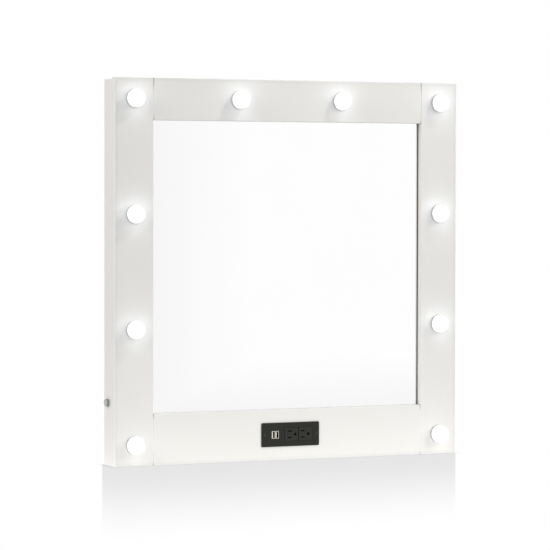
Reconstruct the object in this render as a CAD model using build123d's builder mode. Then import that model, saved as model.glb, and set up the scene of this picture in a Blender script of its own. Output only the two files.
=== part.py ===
from build123d import *
import os

# ---------------------------------------------------------------------------
# Lighted vanity mirror: a face frame of two stiles and two rails in front of
# a shallow box, with a recessed mirror, ten replaceable LED lamps, a dimmer
# on the left side and a power unit in the bottom rail.
# Origin: middle of the footprint on the floor.  +X to the viewer's right,
# -Y towards the viewer, +Z up.  Millimetres.
# ---------------------------------------------------------------------------

LEFT, RIGHT = -1, 1
SIDES = (LEFT, RIGHT)

# overall
WIDTH = 740.0
HEIGHT = 740.0
DEPTH = 60.0
Y_FRONT = -DEPTH / 2
Y_BACK = DEPTH / 2

# face frame
BOARD_T = 15.0
STILE_W = 80.0
TOP_RAIL_H = 81.0
BOTTOM_RAIL_H = 99.0
EDGE_R = 1.2
Y_REAR = Y_FRONT + BOARD_T             # rear of the face frame
Y_MID_BOARD = Y_FRONT + BOARD_T / 2
RAIL_L = WIDTH - 2 * STILE_W
STILE_X = (WIDTH - STILE_W) / 2        # centreline of a stile

# box behind the face frame
BOX_INSET = 3.0
BOX_T = 15.0
BOX_EDGE_R = 0.8
BOX_D = Y_BACK - Y_REAR
BOX_Y = (Y_REAR + Y_BACK) / 2
SIDE_X = WIDTH / 2 - BOX_INSET         # outer face of a side panel
SIDE_IN = SIDE_X - BOX_T               # inner face of a side panel
SIDE_MID = SIDE_X - BOX_T / 2
BOX_TOP = HEIGHT - BOX_INSET

# back panel and the rabbet it lies in
RABBET = 8.0
RABBET_W = 2 * (SIDE_IN + RABBET)
RABBET_H = BOX_TOP - 2 * (BOX_T - RABBET)
BACK_T = 3.0
BACK_GAP = 0.5                         # around the panel, in the rabbet
Y_BACK_IN = Y_BACK - BACK_T

# mirror, let into a rabbet in the rear of the boards
MIRROR_RECESS = 11.0                   # glass behind the board faces
MIRROR_T = 4.0
MIRROR_LAP = 12.0
MIRROR_GAP = 1.0                       # around the glass, in the rabbet
BACKING_T = 3.0
MIRROR_W = RAIL_L + 2 * MIRROR_LAP
MIRROR_H = HEIGHT - TOP_RAIL_H - BOTTOM_RAIL_H + 2 * MIRROR_LAP
MIRROR_Z = BOTTOM_RAIL_H - MIRROR_LAP + MIRROR_H / 2

# lamps: up the left stile, across the top rail, down the right stile
LAMP_PITCH = 220.0
LAMP_Z0 = 40.0
LAMP_HOLE_R = 15.0
LAMP_ROWS = [LAMP_Z0 + i * LAMP_PITCH for i in range(4)]
LAMPS = (
    [(-STILE_X, z) for z in LAMP_ROWS]
    + [(-LAMP_PITCH / 2, LAMP_ROWS[3]), (LAMP_PITCH / 2, LAMP_ROWS[3])]
    + [(STILE_X, z) for z in reversed(LAMP_ROWS)]
)

# dimmer
KNOB_Y = 10.0
KNOB_Z = 120.0
BUSH_R = 3.5
DIMMER_SEAT = 7.0                      # pocket floor, in from the outer face
DIMMER_POCKET_R = 14.0

# power unit
POWER_Z = 50.0
POWER_CUT_W = 106.0
POWER_CUT_H = 36.0
POWER_CUT_R = 4.0
POWER_SCREW_X = (-54.5, 58.6)
POWER_SCREW_REACH = 12.0               # behind the board face

# mains inlet at the back
INLET_X = -240.0
INLET_Z = 45.0
INLET_W = 28.0
INLET_H = 20.0

# keyhole plates at the back
HANG_X = 220.0
HANG_Z = 692.0                         # centre of the keyhole entry
HANG_PLATE_Z = HANG_Z + 5.0
HANG_PLATE_W = 50.0
HANG_PLATE_H = 24.0
HANG_PLATE_R = 3.0

# LED driver on the bottom panel
DRIVER_X0, DRIVER_X1 = 120.0, 240.0
DRIVER_Y0, DRIVER_Y1 = -12.0, 24.0
DRIVER_X = (DRIVER_X0 + DRIVER_X1) / 2
DRIVER_Y = (DRIVER_Y0 + DRIVER_Y1) / 2
DRIVER_SCREWS = [(DRIVER_X0 - 6.0, DRIVER_Y), (DRIVER_X1 + 6.0, DRIVER_Y)]
DRIVER_PILOT_Z = 5.0                   # bottom of the pilot holes

# ---------------------------------------------------------------------------
# where the fixings sit; lists are (x, z) points unless noted
# ---------------------------------------------------------------------------
SCREW_R = 1.5
PILOT_D = 9.0                          # clip and socket screws into the boards

LAP_DOWEL_R = 4.0
LAP_DOWEL_L = 20.0                     # into each board
LAP_TOP_Z = (681.0, 722.0)
LAP_BOTTOM_Z = (20.0, 77.0)

BOX_DOWEL_R = 3.0
BOX_DOWEL_L = 12.0                     # into each panel
BOX_DOWEL_Y = (-5.0, 18.0)
PANEL_TOP_Z = BOX_TOP - BOX_T / 2
PANEL_BOTTOM_Z = BOX_T / 2

FACE_DOWEL_L = 10.0                    # into the board, and into the box
FACE_DOWEL_X = (-200.0, 0.0, 200.0)
FACE_SIDE = [(s * SIDE_MID, z) for s in SIDES for z in (180.0, 370.0, 560.0)]
FACE_TOP = [(x, PANEL_TOP_Z) for x in FACE_DOWEL_X]
FACE_BOTTOM = [(x, PANEL_BOTTOM_Z) for x in FACE_DOWEL_X]

SOCKET_SCREW_OFF = 18.0                # above and below the lamp's centre
SOCKET_SCREWS = [(x, z + s * SOCKET_SCREW_OFF) for x, z in LAMPS for s in (-1, 1)]

CLIP_SCREW_OUT = 8.5                   # clip screw outside the mirror edge
CLIP_Z = (150.0, 370.0, 590.0)
CLIP_X = (-220.0, 0.0, 220.0)
CLIP_SCREWS_SIDE = [(s * (MIRROR_W / 2 + CLIP_SCREW_OUT), z) for s in SIDES for z in CLIP_Z]
CLIP_SCREWS_TOP = [(x, MIRROR_Z + MIRROR_H / 2 + CLIP_SCREW_OUT) for x in CLIP_X]
CLIP_SCREWS_BOTTOM = [(x, MIRROR_Z - MIRROR_H / 2 - CLIP_SCREW_OUT) for x in CLIP_X]

BACK_SCREW_L = 15.0
BACK_SCREW_REACH = Y_BACK - BACK_SCREW_L
BACK_SIDE_X = SIDE_IN + RABBET / 2
BACK_TOP_Z = BOX_TOP - BOX_T + (RABBET - BACK_GAP) / 2
BACK_BOTTOM_Z = BOX_T - (RABBET - BACK_GAP) / 2
BACK_SCREWS_SIDE = [(s * BACK_SIDE_X, z) for s in SIDES
                    for z in (60.0, 215.0, 370.0, 525.0, 680.0)]
BACK_SCREWS_TOP = [(x, BACK_TOP_Z) for x in (-300.0, -120.0, 0.0, 120.0, 300.0)]
BACK_SCREWS_BOTTOM = [(x, BACK_BOTTOM_Z) for x in (-300.0, -150.0, 0.0, 150.0, 300.0)]
BACK_SCREWS = BACK_SCREWS_SIDE + BACK_SCREWS_TOP + BACK_SCREWS_BOTTOM
INLET_SCREWS = [(INLET_X - 20.0, INLET_Z), (INLET_X + 20.0, INLET_Z)]

# ---------------------------------------------------------------------------
# helpers.  Those that add or cut hand their own sketch to extrude or revolve,
# which then acts on the BuildPart block that calls them.
# ---------------------------------------------------------------------------
os.makedirs("parts", exist_ok=True)


def save(builder, name):
    builder.part.label = name
    export_step(builder.part, "parts/" + name + ".step")


def facing(y):
    """Plane at depth y whose normal points to the viewer (-Y); local x is X, local y is Z."""
    return Plane.XZ.offset(-y)


def profile_plane(x, y, z):
    """Level plane at a point; local x is X, local y is Y, to the rear."""
    return Plane(origin=(x, y, z), x_dir=(1, 0, 0), z_dir=(0, 0, 1))


def bores_y(points, radius, y_from, y_to):
    """Round bores along Y from depth y_from forward to y_to (y_to < y_from)."""
    with BuildSketch(facing(y_from)) as holes:
        with Locations(*points):
            Circle(radius)
    extrude(holes.sketch, amount=y_from - y_to, mode=Mode.SUBTRACT)


def bores_x(points, radius, x_one_end, x_other_end):
    """Round bores along X at (y, z) points."""
    x_from, x_to = sorted((x_one_end, x_other_end))
    with BuildSketch(Plane.YZ.offset(x_from)) as holes:
        with Locations(*points):
            Circle(radius)
    extrude(holes.sketch, amount=x_to - x_from, mode=Mode.SUBTRACT)


def turned(x, y, z, outline, mode=Mode.ADD):
    """Turn an outline of (radius, depth) points about a line along Y through (x, y, z)."""
    with BuildSketch(profile_plane(x, y, z)) as profile:
        with BuildLine():
            Polyline(*outline, close=True)
        make_face()
    revolve(profile.sketch, axis=Axis((x, y, z), (0, 1, 0)), mode=mode)


def cross_recess(x, y, z, size, depth):
    """Cross recess sunk forward into a head whose top is at depth y."""
    with BuildSketch(facing(y)) as cross:
        with Locations((x, z)):
            Rectangle(size, size * 0.22)
            Rectangle(size * 0.22, size)
    extrude(cross.sketch, amount=depth, mode=Mode.SUBTRACT)


def pan_head_screw(x, y, z, head_r, length):
    """Screw pointing forward, the underside of its head at depth y."""
    turned(x, y, z, [(0, 1.8), (head_r - 0.6, 1.8), (head_r, 1.0), (head_r, 0), (SCREW_R, 0),
                     (SCREW_R, 1.2 - length), (0, -length)])


def on_stile(points, side):
    """The (x, z) points that lie behind one stile."""
    return [p for p in points if side * p[0] > RAIL_L / 2]


def between_stiles(points):
    return [p for p in points if abs(p[0]) < RAIL_L / 2]


# ---------------------------------------------------------------------------
# face frame
# ---------------------------------------------------------------------------
def frame_board(builder, x, z, width, height):
    """Board centred on (x, z), its front edges rounded, with its share of the mirror rabbet."""
    with BuildSketch(facing(Y_REAR)) as outline:
        with Locations((x, z)):
            Rectangle(width, height)
    extrude(outline.sketch, amount=BOARD_T)
    fillet(builder.faces().sort_by(Axis.Y)[0].edges(), EDGE_R)
    with BuildSketch(facing(Y_REAR)) as step:
        with Locations((0, MIRROR_Z)):
            Rectangle(MIRROR_W + 2 * MIRROR_GAP, MIRROR_H + 2 * MIRROR_GAP)
    extrude(step.sketch, amount=BOARD_T - MIRROR_RECESS, mode=Mode.SUBTRACT)


def board_pilots(points):
    bores_y(points, SCREW_R, Y_REAR, Y_REAR - PILOT_D)


def board_dowel_holes(points):
    """Holes in a board for the dowels that join it to the box."""
    bores_y(points, BOX_DOWEL_R, Y_REAR, Y_REAR - FACE_DOWEL_L)


def rail_end_bores(heights):
    for side in SIDES:
        bores_x([(Y_MID_BOARD, z) for z in heights], LAP_DOWEL_R,
                side * (RAIL_L / 2 - LAP_DOWEL_L), side * RAIL_L / 2)


def stile(side):
    with BuildPart() as board:
        frame_board(board, side * STILE_X, HEIGHT / 2, STILE_W, HEIGHT)
        bores_y(on_stile(LAMPS, side), LAMP_HOLE_R, Y_REAR, Y_FRONT)
        board_pilots(on_stile(SOCKET_SCREWS, side))
        board_pilots(on_stile(CLIP_SCREWS_SIDE, side))
        board_dowel_holes(on_stile(FACE_SIDE, side))
        bores_x([(Y_MID_BOARD, z) for z in LAP_TOP_Z + LAP_BOTTOM_Z], LAP_DOWEL_R,
                side * RAIL_L / 2, side * (RAIL_L / 2 + LAP_DOWEL_L))
    return board


save(stile(LEFT), "left_stile")
save(stile(RIGHT), "right_stile")

with BuildPart() as top_rail:
    frame_board(top_rail, 0, HEIGHT - TOP_RAIL_H / 2, RAIL_L, TOP_RAIL_H)
    bores_y(between_stiles(LAMPS), LAMP_HOLE_R, Y_REAR, Y_FRONT)
    board_pilots(between_stiles(SOCKET_SCREWS))
    board_pilots(CLIP_SCREWS_TOP)
    board_dowel_holes(FACE_TOP)
    rail_end_bores(LAP_TOP_Z)
save(top_rail, "top_rail")

with BuildPart() as bottom_rail:
    frame_board(bottom_rail, 0, BOTTOM_RAIL_H / 2, RAIL_L, BOTTOM_RAIL_H)
    # opening for the power unit
    with BuildSketch(facing(Y_REAR)):
        with Locations((0, POWER_Z)):
            RectangleRounded(POWER_CUT_W, POWER_CUT_H, POWER_CUT_R)
    extrude(amount=BOARD_T, mode=Mode.SUBTRACT)
    bores_y([(x, POWER_Z) for x in POWER_SCREW_X], SCREW_R, Y_FRONT + POWER_SCREW_REACH, Y_FRONT)
    board_pilots(CLIP_SCREWS_BOTTOM)
    board_dowel_holes(FACE_BOTTOM)
    rail_end_bores(LAP_BOTTOM_Z)
save(bottom_rail, "bottom_rail")


# ---------------------------------------------------------------------------
# box: side, top and bottom panels
# ---------------------------------------------------------------------------
def rabbet_cut():
    """Recess around the rear opening of the box, where the back panel lies."""
    with BuildSketch(facing(Y_BACK)) as recess:
        with Locations((0, BOX_TOP / 2)):
            Rectangle(RABBET_W, RABBET_H)
    extrude(recess.sketch, amount=BACK_T, mode=Mode.SUBTRACT)


def panel_dowel_holes(points):
    """Holes in a panel's front edge for the dowels that join it to the face frame."""
    bores_y(points, BOX_DOWEL_R, Y_REAR + FACE_DOWEL_L, Y_REAR)


def back_screw_pilots(points):
    bores_y(points, SCREW_R, Y_BACK_IN, BACK_SCREW_REACH)


def panel_end_bores(z):
    """Corner dowel holes in both ends of the top or bottom panel."""
    for side in SIDES:
        bores_x([(y, z) for y in BOX_DOWEL_Y], BOX_DOWEL_R,
                side * (SIDE_IN - BOX_DOWEL_L), side * SIDE_IN)


def side_panel(side):
    with BuildPart() as panel:
        with BuildSketch(Plane.XY):
            with Locations((side * SIDE_MID, BOX_Y)):
                Rectangle(BOX_T, BOX_D)
        extrude(amount=BOX_TOP)
        outer = panel.faces().sort_by(Axis.X)[0 if side == LEFT else -1]
        fillet(outer.edges().filter_by(Axis.Z).sort_by(Axis.Y)[-1:], BOX_EDGE_R)
        rabbet_cut()
        if side == LEFT:
            # dimmer: bush hole and the pocket for its body
            bores_x([(KNOB_Y, KNOB_Z)], BUSH_R, -SIDE_X, -SIDE_IN)
            bores_x([(KNOB_Y, KNOB_Z)], DIMMER_POCKET_R, -SIDE_X + DIMMER_SEAT, -SIDE_IN)
        bores_x([(y, z) for y in BOX_DOWEL_Y for z in (PANEL_TOP_Z, PANEL_BOTTOM_Z)],
                BOX_DOWEL_R, side * SIDE_IN, side * (SIDE_IN + BOX_DOWEL_L))
        panel_dowel_holes(on_stile(FACE_SIDE, side))
        back_screw_pilots(on_stile(BACK_SCREWS_SIDE, side))
    return panel


save(side_panel(LEFT), "left_side_panel")
save(side_panel(RIGHT), "right_side_panel")

with BuildPart() as top_panel:
    with BuildSketch(Plane.XY.offset(BOX_TOP - BOX_T)):
        with Locations((0, BOX_Y)):
            Rectangle(2 * SIDE_IN, BOX_D)
    extrude(amount=BOX_T)
    upper = top_panel.faces().sort_by(Axis.Z)[-1]
    fillet(upper.edges().filter_by(Axis.X).sort_by(Axis.Y)[-1:], BOX_EDGE_R)
    rabbet_cut()
    panel_end_bores(PANEL_TOP_Z)
    panel_dowel_holes(FACE_TOP)
    back_screw_pilots(BACK_SCREWS_TOP)
save(top_panel, "top_panel")

with BuildPart() as bottom_panel:
    with BuildSketch(Plane.XY):
        with Locations((0, BOX_Y)):
            Rectangle(2 * SIDE_IN, BOX_D)
    extrude(amount=BOX_T)
    rabbet_cut()
    panel_end_bores(PANEL_BOTTOM_Z)
    panel_dowel_holes(FACE_BOTTOM)
    back_screw_pilots(BACK_SCREWS_BOTTOM)
    # pilot holes for the driver's two screws
    with BuildSketch(Plane.XY.offset(DRIVER_PILOT_Z)):
        with Locations(*DRIVER_SCREWS):
            Circle(SCREW_R)
    extrude(amount=BOX_T - DRIVER_PILOT_Z, mode=Mode.SUBTRACT)
save(bottom_panel, "bottom_panel")

# ---------------------------------------------------------------------------
# back panel and its screws
# ---------------------------------------------------------------------------
HANG_OPENING_GAP = 1.5                 # around a hanger plate
INLET_OPENING_GAP = 0.5                # around the inlet
INLET_OPENING_R = 3.3
VENT_Z = 66.0
VENT_PITCH = 9.0
VENT_COUNT = 9
VENT_L = 26.0
VENT_W = 4.0

# (radius, depth) of a countersunk head, flush with the back
COUNTERSINK = [(0, 0), (3.0, 0), (3.0, -0.3), (SCREW_R, -1.8)]
INLET_SCREW_L = 8.0
BACK_CROSS = 3.4
BACK_CROSS_D = 1.1

with BuildPart() as back_panel:
    with BuildSketch(facing(Y_BACK)):
        with Locations((0, BOX_TOP / 2)):
            Rectangle(RABBET_W - 2 * BACK_GAP, RABBET_H - 2 * BACK_GAP)
    extrude(amount=BACK_T)
    # openings: hanger plates, mains inlet, ventilation
    with BuildSketch(facing(Y_BACK)):
        with Locations((-HANG_X, HANG_PLATE_Z), (HANG_X, HANG_PLATE_Z)):
            RectangleRounded(HANG_PLATE_W + 2 * HANG_OPENING_GAP,
                             HANG_PLATE_H + 2 * HANG_OPENING_GAP, HANG_PLATE_R)
        with Locations((INLET_X, INLET_Z)):
            RectangleRounded(INLET_W + 2 * INLET_OPENING_GAP,
                             INLET_H + 2 * INLET_OPENING_GAP, INLET_OPENING_R)
        with Locations((DRIVER_X, VENT_Z)):
            with GridLocations(VENT_PITCH, 0, VENT_COUNT, 1):
                SlotOverall(VENT_L, VENT_W, rotation=90)
    extrude(amount=BACK_T, mode=Mode.SUBTRACT)
    for x, z in BACK_SCREWS + INLET_SCREWS:
        turned(x, Y_BACK, z, COUNTERSINK + [(SCREW_R, -BACK_T), (0, -BACK_T)], mode=Mode.SUBTRACT)
save(back_panel, "back_panel")

with BuildPart() as back_panel_screws:
    for x, z in BACK_SCREWS:
        turned(x, Y_BACK, z, COUNTERSINK + [(SCREW_R, 1.4 - BACK_SCREW_L), (0, -BACK_SCREW_L)])
        cross_recess(x, Y_BACK, z, BACK_CROSS, BACK_CROSS_D)
    for x, z in INLET_SCREWS:
        turned(x, Y_BACK, z, COUNTERSINK + [(SCREW_R, -INLET_SCREW_L), (0, -INLET_SCREW_L)])
        cross_recess(x, Y_BACK, z, BACK_CROSS, BACK_CROSS_D)
save(back_panel_screws, "back_panel_screws")

# ---------------------------------------------------------------------------
# wooden dowels: stile to rail, box corners, face frame to box
# ---------------------------------------------------------------------------
with BuildPart() as dowels:
    for s in SIDES:
        with BuildSketch(Plane.YZ.offset(s * RAIL_L / 2 - LAP_DOWEL_L)):
            with Locations(*[(Y_MID_BOARD, z) for z in LAP_TOP_Z + LAP_BOTTOM_Z]):
                Circle(LAP_DOWEL_R)
        extrude(amount=2 * LAP_DOWEL_L)
        with BuildSketch(Plane.YZ.offset(s * SIDE_IN - BOX_DOWEL_L)):
            with Locations(*[(y, z) for y in BOX_DOWEL_Y for z in (PANEL_TOP_Z, PANEL_BOTTOM_Z)]):
                Circle(BOX_DOWEL_R)
        extrude(amount=2 * BOX_DOWEL_L)
    with BuildSketch(facing(Y_REAR + FACE_DOWEL_L)):
        with Locations(*(FACE_SIDE + FACE_TOP + FACE_BOTTOM)):
            Circle(BOX_DOWEL_R)
    extrude(amount=2 * FACE_DOWEL_L)
save(dowels, "dowels")

# ---------------------------------------------------------------------------
# mirror, its backing board and the clips that hold both
# ---------------------------------------------------------------------------
Y_GLASS_REAR = Y_FRONT + MIRROR_RECESS + MIRROR_T
Y_BACKING_REAR = Y_GLASS_REAR + BACKING_T


def mirror_sheet(y_rear, thickness):
    with BuildPart() as sheet:
        with BuildSketch(facing(y_rear)):
            with Locations((0, MIRROR_Z)):
                Rectangle(MIRROR_W, MIRROR_H)
        extrude(amount=thickness)
    return sheet


save(mirror_sheet(Y_GLASS_REAR, MIRROR_T), "mirror_glass")
save(mirror_sheet(Y_BACKING_REAR, BACKING_T), "mirror_backing")

CLIP_T = 1.5
CLIP_W = 16.0
CLIP_HEAD_R = 2.8
CLIP_GAP = 1.0                         # mirror edge to the clip's upright
CLIP_FOOT_END = 14.0
CLIP_LAP = 8.0                         # over the backing
PROUD = Y_BACKING_REAR - Y_REAR        # backing behind the boards' rear
# bent section: (outwards from the mirror's edge, to the rear of the boards)
CLIP_OUTLINE = [
    (CLIP_GAP, 0.0), (CLIP_FOOT_END, 0.0), (CLIP_FOOT_END, CLIP_T),
    (CLIP_GAP + CLIP_T, CLIP_T), (CLIP_GAP + CLIP_T, PROUD + CLIP_T),
    (-CLIP_LAP, PROUD + CLIP_T), (-CLIP_LAP, PROUD), (CLIP_GAP, PROUD),
]


def clip(plane, hole_at):
    """Bent clip: local x runs outwards from the mirror's edge, local y to the rear."""
    with BuildSketch(plane) as outline:
        with BuildLine():
            Polyline(*CLIP_OUTLINE, close=True)
        make_face()
    extrude(outline.sketch, amount=CLIP_W / 2, both=True)
    bores_y([hole_at], SCREW_R, Y_REAR + CLIP_T, Y_REAR)


with BuildPart() as mirror_clips:
    for s in SIDES:
        for z in CLIP_Z:
            clip(Plane(origin=(s * MIRROR_W / 2, Y_REAR, z), x_dir=(s, 0, 0), z_dir=(0, 0, s)),
                 (s * (MIRROR_W / 2 + CLIP_SCREW_OUT), z))
    for s in (-1, 1):                  # bottom, top
        for x in CLIP_X:
            clip(Plane(origin=(x, Y_REAR, MIRROR_Z + s * MIRROR_H / 2),
                       x_dir=(0, 0, s), z_dir=(-s, 0, 0)),
                 (x, MIRROR_Z + s * (MIRROR_H / 2 + CLIP_SCREW_OUT)))
save(mirror_clips, "mirror_clips")

with BuildPart() as mirror_clip_screws:
    for x, z in CLIP_SCREWS_SIDE + CLIP_SCREWS_TOP + CLIP_SCREWS_BOTTOM:
        pan_head_screw(x, Y_REAR + CLIP_T, z, CLIP_HEAD_R, CLIP_T + PILOT_D)
save(mirror_clip_screws, "mirror_clip_screws")

# ---------------------------------------------------------------------------
# lamps: ten identical replaceable LED lamps, each a globe on a base.
# Depths are from the board face: negative in front, positive behind.
# ---------------------------------------------------------------------------
LAMP_R = 18.0
COLLAR_H = 8.0
GLOBE_C = -COLLAR_H - 0.8              # depth of the globe's centre
GLOBE_IN = LAMP_R - 1.6
GLOBE_RIM = -COLLAR_H - 0.2
SPIGOT_OUT = 15.6
SPIGOT_IN = 14.4
SPIGOT_END = -4.6
WEB_FRONT = -15.0                      # ring that joins the spigot to the shell
WEB_W = 2.2
TRIM = 60.0                            # larger than the globe
# (radius, depth) outline of the base
BASE_OUTLINE = [
    # LED plate
    (0, -5.6), (12.5, -5.6), (12.5, -4.0),
    # collar, 0.4 off the board
    (SPIGOT_OUT + 0.1, -4.0), (SPIGOT_OUT + 0.1, -COLLAR_H), (LAMP_R - 0.5, -COLLAR_H),
    (LAMP_R, -COLLAR_H + 0.5), (LAMP_R, -1.2), (LAMP_R - 0.8, -0.4),
    # neck
    (13.0, -0.4), (13.0, 8.0), (6.8, 13.4), (6.8, 14.4),
    # screw cap and its tip
    (5.95, 14.4), (5.95, 29.5), (4.2, 32.0), (2.4, 33.2), (2.4, 35.4), (0, 35.4),
]


def lamp_globe(x, z):
    """Domed shell with a spigot that enters the collar."""
    with BuildPart() as globe:
        with BuildSketch(profile_plane(x, Y_FRONT, z)):
            with Locations((0, GLOBE_C)):
                Circle(LAMP_R)
                Circle(GLOBE_IN, mode=Mode.SUBTRACT)
            with Locations((0, GLOBE_RIM)):
                Rectangle(TRIM, TRIM, align=(Align.CENTER, Align.MIN), mode=Mode.SUBTRACT)
            with Locations((SPIGOT_IN, WEB_FRONT)):
                Rectangle(WEB_W, GLOBE_RIM - WEB_FRONT, align=(Align.MIN, Align.MIN))
            with Locations((SPIGOT_IN, GLOBE_RIM)):
                Rectangle(SPIGOT_OUT - SPIGOT_IN, SPIGOT_END - GLOBE_RIM,
                          align=(Align.MIN, Align.MIN))
            # keep one side of the axis, to be turned
            with Locations((0, GLOBE_C)):
                Rectangle(TRIM, TRIM, align=(Align.MAX, Align.CENTER), mode=Mode.SUBTRACT)
        revolve(axis=Axis((x, Y_FRONT, z), (0, 1, 0)))
    return globe


def lamp_base(x, z):
    """Collar, LED plate, neck and screw cap of one lamp."""
    with BuildPart() as base:
        turned(x, Y_FRONT, z, BASE_OUTLINE)
    return base


for i, (x, z) in enumerate(LAMPS, start=1):
    save(lamp_globe(x, z), f"lamp_{i:02d}_globe")
    save(lamp_base(x, z), f"lamp_{i:02d}_base")

# ---------------------------------------------------------------------------
# lamp sockets, screwed to the rear of the boards
# ---------------------------------------------------------------------------
SOCKET_R = 21.0
FLANGE_T = 3.0
FLANGE_REAR = BOARD_T + FLANGE_T
BORE_R = 6.35
BORE_END = 38.0
SOCKET_BODY_R = 9.5
SOCKET_END = 39.0
TERMINAL_SIZE = 16.0                   # square terminal block behind the body
TERMINAL_T = 5.0
SHELL_IN = 6.05
SOCKET_HEAD_R = 2.5
# (radius, depth from the board face)
SOCKET_OUTLINE = [
    (BORE_R, BOARD_T), (SOCKET_R, BOARD_T), (SOCKET_R, FLANGE_REAR - 1), (SOCKET_R - 1, FLANGE_REAR),
    (SOCKET_BODY_R, FLANGE_REAR), (SOCKET_BODY_R, SOCKET_END), (0, SOCKET_END), (0, BORE_END),
    (BORE_R, BORE_END),
]
SHELL_OUTLINE = [(SHELL_IN, 16.0), (BORE_R, 16.0), (BORE_R, 34.0), (SHELL_IN, 34.0)]
CENTRE_CONTACT_OUTLINE = [(0, 35.5), (2.2, 35.5), (2.2, BORE_END), (0, BORE_END)]

with BuildPart() as lamp_sockets:
    for x, z in LAMPS:
        turned(x, Y_FRONT, z, SOCKET_OUTLINE)
        with BuildSketch(facing(Y_FRONT + SOCKET_END + TERMINAL_T)):
            with Locations((x, z)):
                Rectangle(TERMINAL_SIZE, TERMINAL_SIZE)
        extrude(amount=TERMINAL_T)
        bores_y([(x, z + SOCKET_SCREW_OFF), (x, z - SOCKET_SCREW_OFF)], SCREW_R,
                Y_REAR + FLANGE_T, Y_REAR)
save(lamp_sockets, "lamp_sockets")

with BuildPart() as lamp_socket_contacts:
    for x, z in LAMPS:
        turned(x, Y_FRONT, z, SHELL_OUTLINE)
        turned(x, Y_FRONT, z, CENTRE_CONTACT_OUTLINE)
save(lamp_socket_contacts, "lamp_socket_contacts")

with BuildPart() as lamp_socket_screws:
    for x, z in SOCKET_SCREWS:
        pan_head_screw(x, Y_REAR + FLANGE_T, z, SOCKET_HEAD_R, FLANGE_T + PILOT_D)
save(lamp_socket_screws, "lamp_socket_screws")

# ---------------------------------------------------------------------------
# dimmer on the left side panel; everything turns about a line along X
# ---------------------------------------------------------------------------
DIMMER_AXIS = Axis((0, KNOB_Y, KNOB_Z), (1, 0, 0))
DIMMER_PLANE = Plane(origin=(0, KNOB_Y, KNOB_Z), x_dir=(1, 0, 0), z_dir=(0, -1, 0))

KNOB_R = 7.2
KNOB_IN_R = KNOB_R - 0.9
KNOB_FOOT = -SIDE_X - 0.4
KNOB_FACE = -SIDE_X - 6.4
FLUTE_R = 0.45
FLUTE_CENTRE_R = KNOB_R + 0.15
FLUTE_COUNT = 30
FLUTE_L = 4.6
POINTER_OFF = 3.9                      # groove's centre above the knob's
POINTER_L = 4.6
POINTER_W = 0.9
POINTER_D = 0.4

SHAFT_R = 3.0
SHAFT_FACE = KNOB_FACE + 1.0
SHAFT_END = -SIDE_IN - 2.0
BUSH_IN_R = SHAFT_R + 0.05
BUSH_END = -SIDE_X - 3.0
BUSH_CHAMFER = 0.4
BODY_R = 12.0
BODY_FACE = -SIDE_X + DIMMER_SEAT
BODY_END = BODY_FACE + 13.0
TAG_PITCH = 5.0
TAG_DROP = 7.0                         # below the axis
TAG_W = 2.2
TAG_T = 0.8
TAG_L = 5.0
WASHER_R = 6.0
WASHER_T = 0.6
NUT_ACROSS_FLATS = 10.0
NUT_T = 2.0


def dimmer_turned(outline):
    """Outline of (X, radius) points turned about the dimmer's line."""
    with BuildSketch(DIMMER_PLANE) as profile:
        with BuildLine():
            Polyline(*outline, close=True)
        make_face()
    revolve(profile.sketch, axis=DIMMER_AXIS)


with BuildPart() as dimmer_knob:
    dimmer_turned([
        (KNOB_FOOT, KNOB_IN_R), (KNOB_FOOT, KNOB_R), (KNOB_FACE + 0.7, KNOB_R),
        (KNOB_FACE, KNOB_R - 0.7), (KNOB_FACE, 0), (SHAFT_FACE, 0), (SHAFT_FACE, SHAFT_R),
        (KNOB_FACE + 2.8, SHAFT_R), (KNOB_FACE + 2.8, KNOB_IN_R),
    ])
    # grip flutes
    with BuildSketch(Plane.YZ.offset(KNOB_FOOT)):
        with Locations((KNOB_Y, KNOB_Z)):
            with PolarLocations(FLUTE_CENTRE_R, FLUTE_COUNT):
                Circle(FLUTE_R)
    extrude(amount=-FLUTE_L, mode=Mode.SUBTRACT)
    # pointer groove on the face
    with BuildSketch(Plane.YZ.offset(KNOB_FACE)):
        with Locations((KNOB_Y, KNOB_Z + POINTER_OFF)):
            SlotOverall(POINTER_L, POINTER_W, rotation=90)
    extrude(amount=POINTER_D, mode=Mode.SUBTRACT)
save(dimmer_knob, "dimmer_knob")

with BuildPart() as dimmer_shaft:
    dimmer_turned([(SHAFT_FACE, 0), (SHAFT_FACE, SHAFT_R), (SHAFT_END, SHAFT_R), (SHAFT_END, 0)])
save(dimmer_shaft, "dimmer_shaft")

with BuildPart() as dimmer_body:
    dimmer_turned([
        (BUSH_END, BUSH_IN_R), (BUSH_END, BUSH_R - BUSH_CHAMFER), (BUSH_END + BUSH_CHAMFER, BUSH_R),
        (BODY_FACE, BUSH_R), (BODY_FACE, BODY_R), (BODY_END, BODY_R), (BODY_END, 0),
        (SHAFT_END + 0.1, 0), (SHAFT_END + 0.1, BUSH_IN_R),
    ])
    # solder tags on the inner end
    with BuildSketch(Plane.YZ.offset(BODY_END)):
        with Locations(*[(KNOB_Y + i * TAG_PITCH, KNOB_Z - TAG_DROP) for i in (-1, 0, 1)]):
            Rectangle(TAG_W, TAG_T)
    extrude(amount=TAG_L)
save(dimmer_body, "dimmer_body")

with BuildPart() as dimmer_nut:
    with BuildSketch(Plane.YZ.offset(-SIDE_X - WASHER_T)):
        with Locations((KNOB_Y, KNOB_Z)):
            RegularPolygon(NUT_ACROSS_FLATS / 2, 6, major_radius=False)
            Circle(BUSH_R, mode=Mode.SUBTRACT)
    extrude(amount=-NUT_T)
save(dimmer_nut, "dimmer_nut")

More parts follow.
